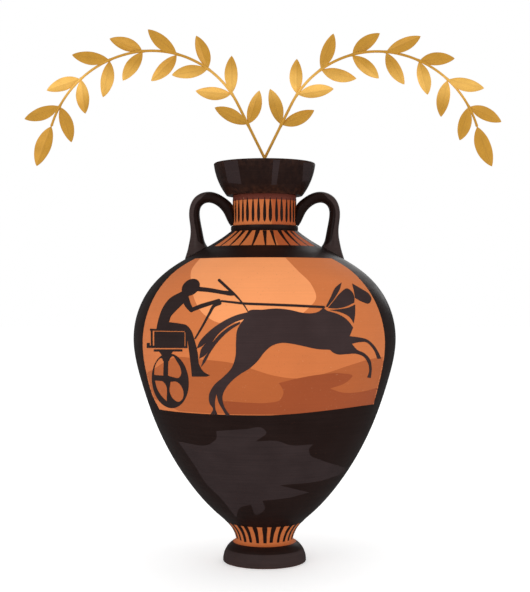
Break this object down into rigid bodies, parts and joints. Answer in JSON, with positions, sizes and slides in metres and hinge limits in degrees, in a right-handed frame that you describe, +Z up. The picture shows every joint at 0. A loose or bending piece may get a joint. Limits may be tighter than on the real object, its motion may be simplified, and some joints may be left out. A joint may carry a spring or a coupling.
{
  "type": "black-figure amphora with gilt leaf branches",
  "caption": "Tall two-handled ceramic storage jar with a footed ovoid body and flaring mouth, holding a pair of arching gilt leaf branches in a cork.",
  "frame": {"origin": "on the ground under the jar's axis, at the centre of the foot's resting ring", "axes": "+Z up along the jar's axis; the handles and both branches lie in the XZ plane; -Y faces the viewer of the painted front"},
  "size_m": [0.7416, 0.407, 0.8253],
  "materials": {
    "clay": "satin",
    "black_slip": "gloss",
    "cork": "matte",
    "gilt_stem": "satin",
    "gilt_leaf": "satin"
  },
  "bodies": {
    "amphora": {"foot": "black_slip", "foot_collar": "clay", "lower_body": "black_slip", "upper_body": "clay", "neck_ring": "black_slip", "neck": "clay", "mouth": "black_slip", "left_handle": "black_slip", "right_handle": "black_slip"},
    "cork": {"neck_cork": "cork"},
    "left_branch": {"left_stem": "gilt_stem", "left_inner_leaf_1": "gilt_leaf", "left_outer_leaf_1": "gilt_leaf", "left_inner_leaf_2": "gilt_leaf", "left_outer_leaf_2": "gilt_leaf", "left_inner_leaf_3": "gilt_leaf", "left_outer_leaf_3": "gilt_leaf", "left_inner_leaf_4": "gilt_leaf", "left_outer_leaf_4": "gilt_leaf", "left_inner_leaf_5": "gilt_leaf", "left_outer_leaf_5": "gilt_leaf", "left_inner_leaf_6": "gilt_leaf", "left_outer_leaf_6": "gilt_leaf", "left_inner_leaf_7": "gilt_leaf", "left_outer_leaf_7": "gilt_leaf", "left_inner_leaf_8": "gilt_leaf", "left_outer_leaf_8": "gilt_leaf", "left_tip_leaf": "gilt_leaf"},
    "right_branch": {"right_stem": "gilt_stem", "right_inner_leaf_1": "gilt_leaf", "right_outer_leaf_1": "gilt_leaf", "right_inner_leaf_2": "gilt_leaf", "right_outer_leaf_2": "gilt_leaf", "right_inner_leaf_3": "gilt_leaf", "right_outer_leaf_3": "gilt_leaf", "right_inner_leaf_4": "gilt_leaf", "right_outer_leaf_4": "gilt_leaf", "right_inner_leaf_5": "gilt_leaf", "right_outer_leaf_5": "gilt_leaf", "right_inner_leaf_6": "gilt_leaf", "right_outer_leaf_6": "gilt_leaf", "right_inner_leaf_7": "gilt_leaf", "right_outer_leaf_7": "gilt_leaf", "right_inner_leaf_8": "gilt_leaf", "right_outer_leaf_8": "gilt_leaf", "right_tip_leaf": "gilt_leaf"}
  },
  "joints": [
    {"name": "cork_lift", "type": "slide", "parent": "amphora", "child": "cork", "axis": [0, 0, 1], "range_m": [0, 0.12]},
    {"name": "left_branch_lift", "type": "slide", "parent": "cork", "child": "left_branch", "axis": [0, 0, 1], "range_m": [0, 0.08]},
    {"name": "right_branch_lift", "type": "slide", "parent": "cork", "child": "right_branch", "axis": [0, 0, 1], "range_m": [0, 0.08]}
  ]
}
